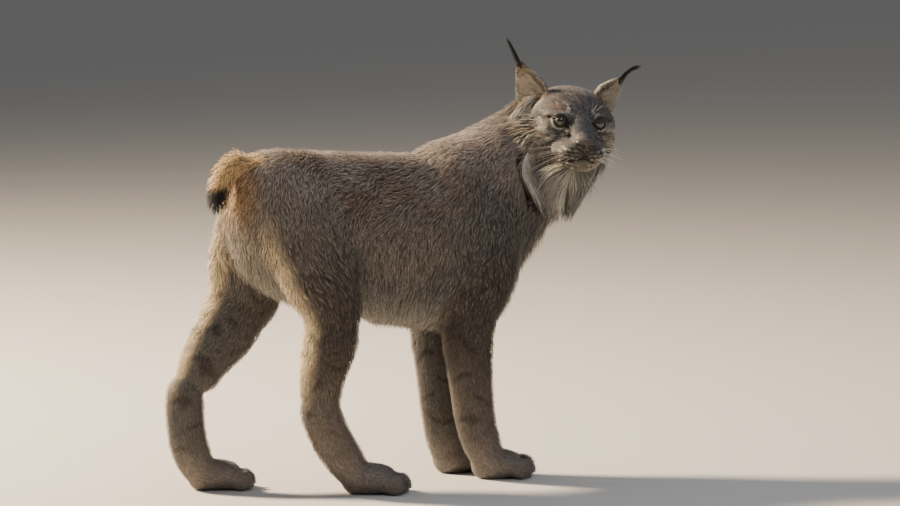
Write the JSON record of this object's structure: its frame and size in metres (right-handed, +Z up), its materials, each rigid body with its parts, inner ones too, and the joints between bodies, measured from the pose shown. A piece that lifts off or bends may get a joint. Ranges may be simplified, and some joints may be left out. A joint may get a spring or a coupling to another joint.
{
  "type": "canada lynx",
  "caption": "Life-size still figure of a Canada lynx standing on four paws, its head turned over the right shoulder, with tufted ears, a ruff and a short black-tipped tail.",
  "frame": {"origin": "on the floor under the middle of the model's box, at the height of the soles", "axes": "+X the way the body faces, +Y the animal's left side, +Z up"},
  "size_m": [0.8024, 0.299, 0.7097],
  "materials": {
    "coat": "grizzled grey-brown fur with pale tips, warmer along the back",
    "leg_coat": "short tan fur with faint dark bars",
    "paw_coat": "short pale fur over the toes",
    "black_hair": "black hair of the ear tufts and the tail's tip",
    "nose_leather": "bare dark brown nose skin with a black edge",
    "eye": "wet grey-olive iris with a black pupil"
  },
  "bodies": {
    "root": {"torso": "coat", "neck": "coat", "tail": "coat", "head": "coat", "ear_right": "coat", "ear_left": "coat", "eye_right": "eye", "eye_left": "eye", "hind_right_thigh": "leg_coat", "hind_right_shank": "leg_coat", "hind_right_instep": "leg_coat", "hind_right_paw": "paw_coat", "hind_left_thigh": "leg_coat", "hind_left_shank": "leg_coat", "hind_left_instep": "leg_coat", "hind_left_paw": "paw_coat", "fore_right_upper": "leg_coat", "fore_right_forearm": "leg_coat", "fore_right_paw": "paw_coat", "fore_left_upper": "leg_coat", "fore_left_forearm": "leg_coat", "fore_left_paw": "paw_coat"}
  },
  "joints": []
}
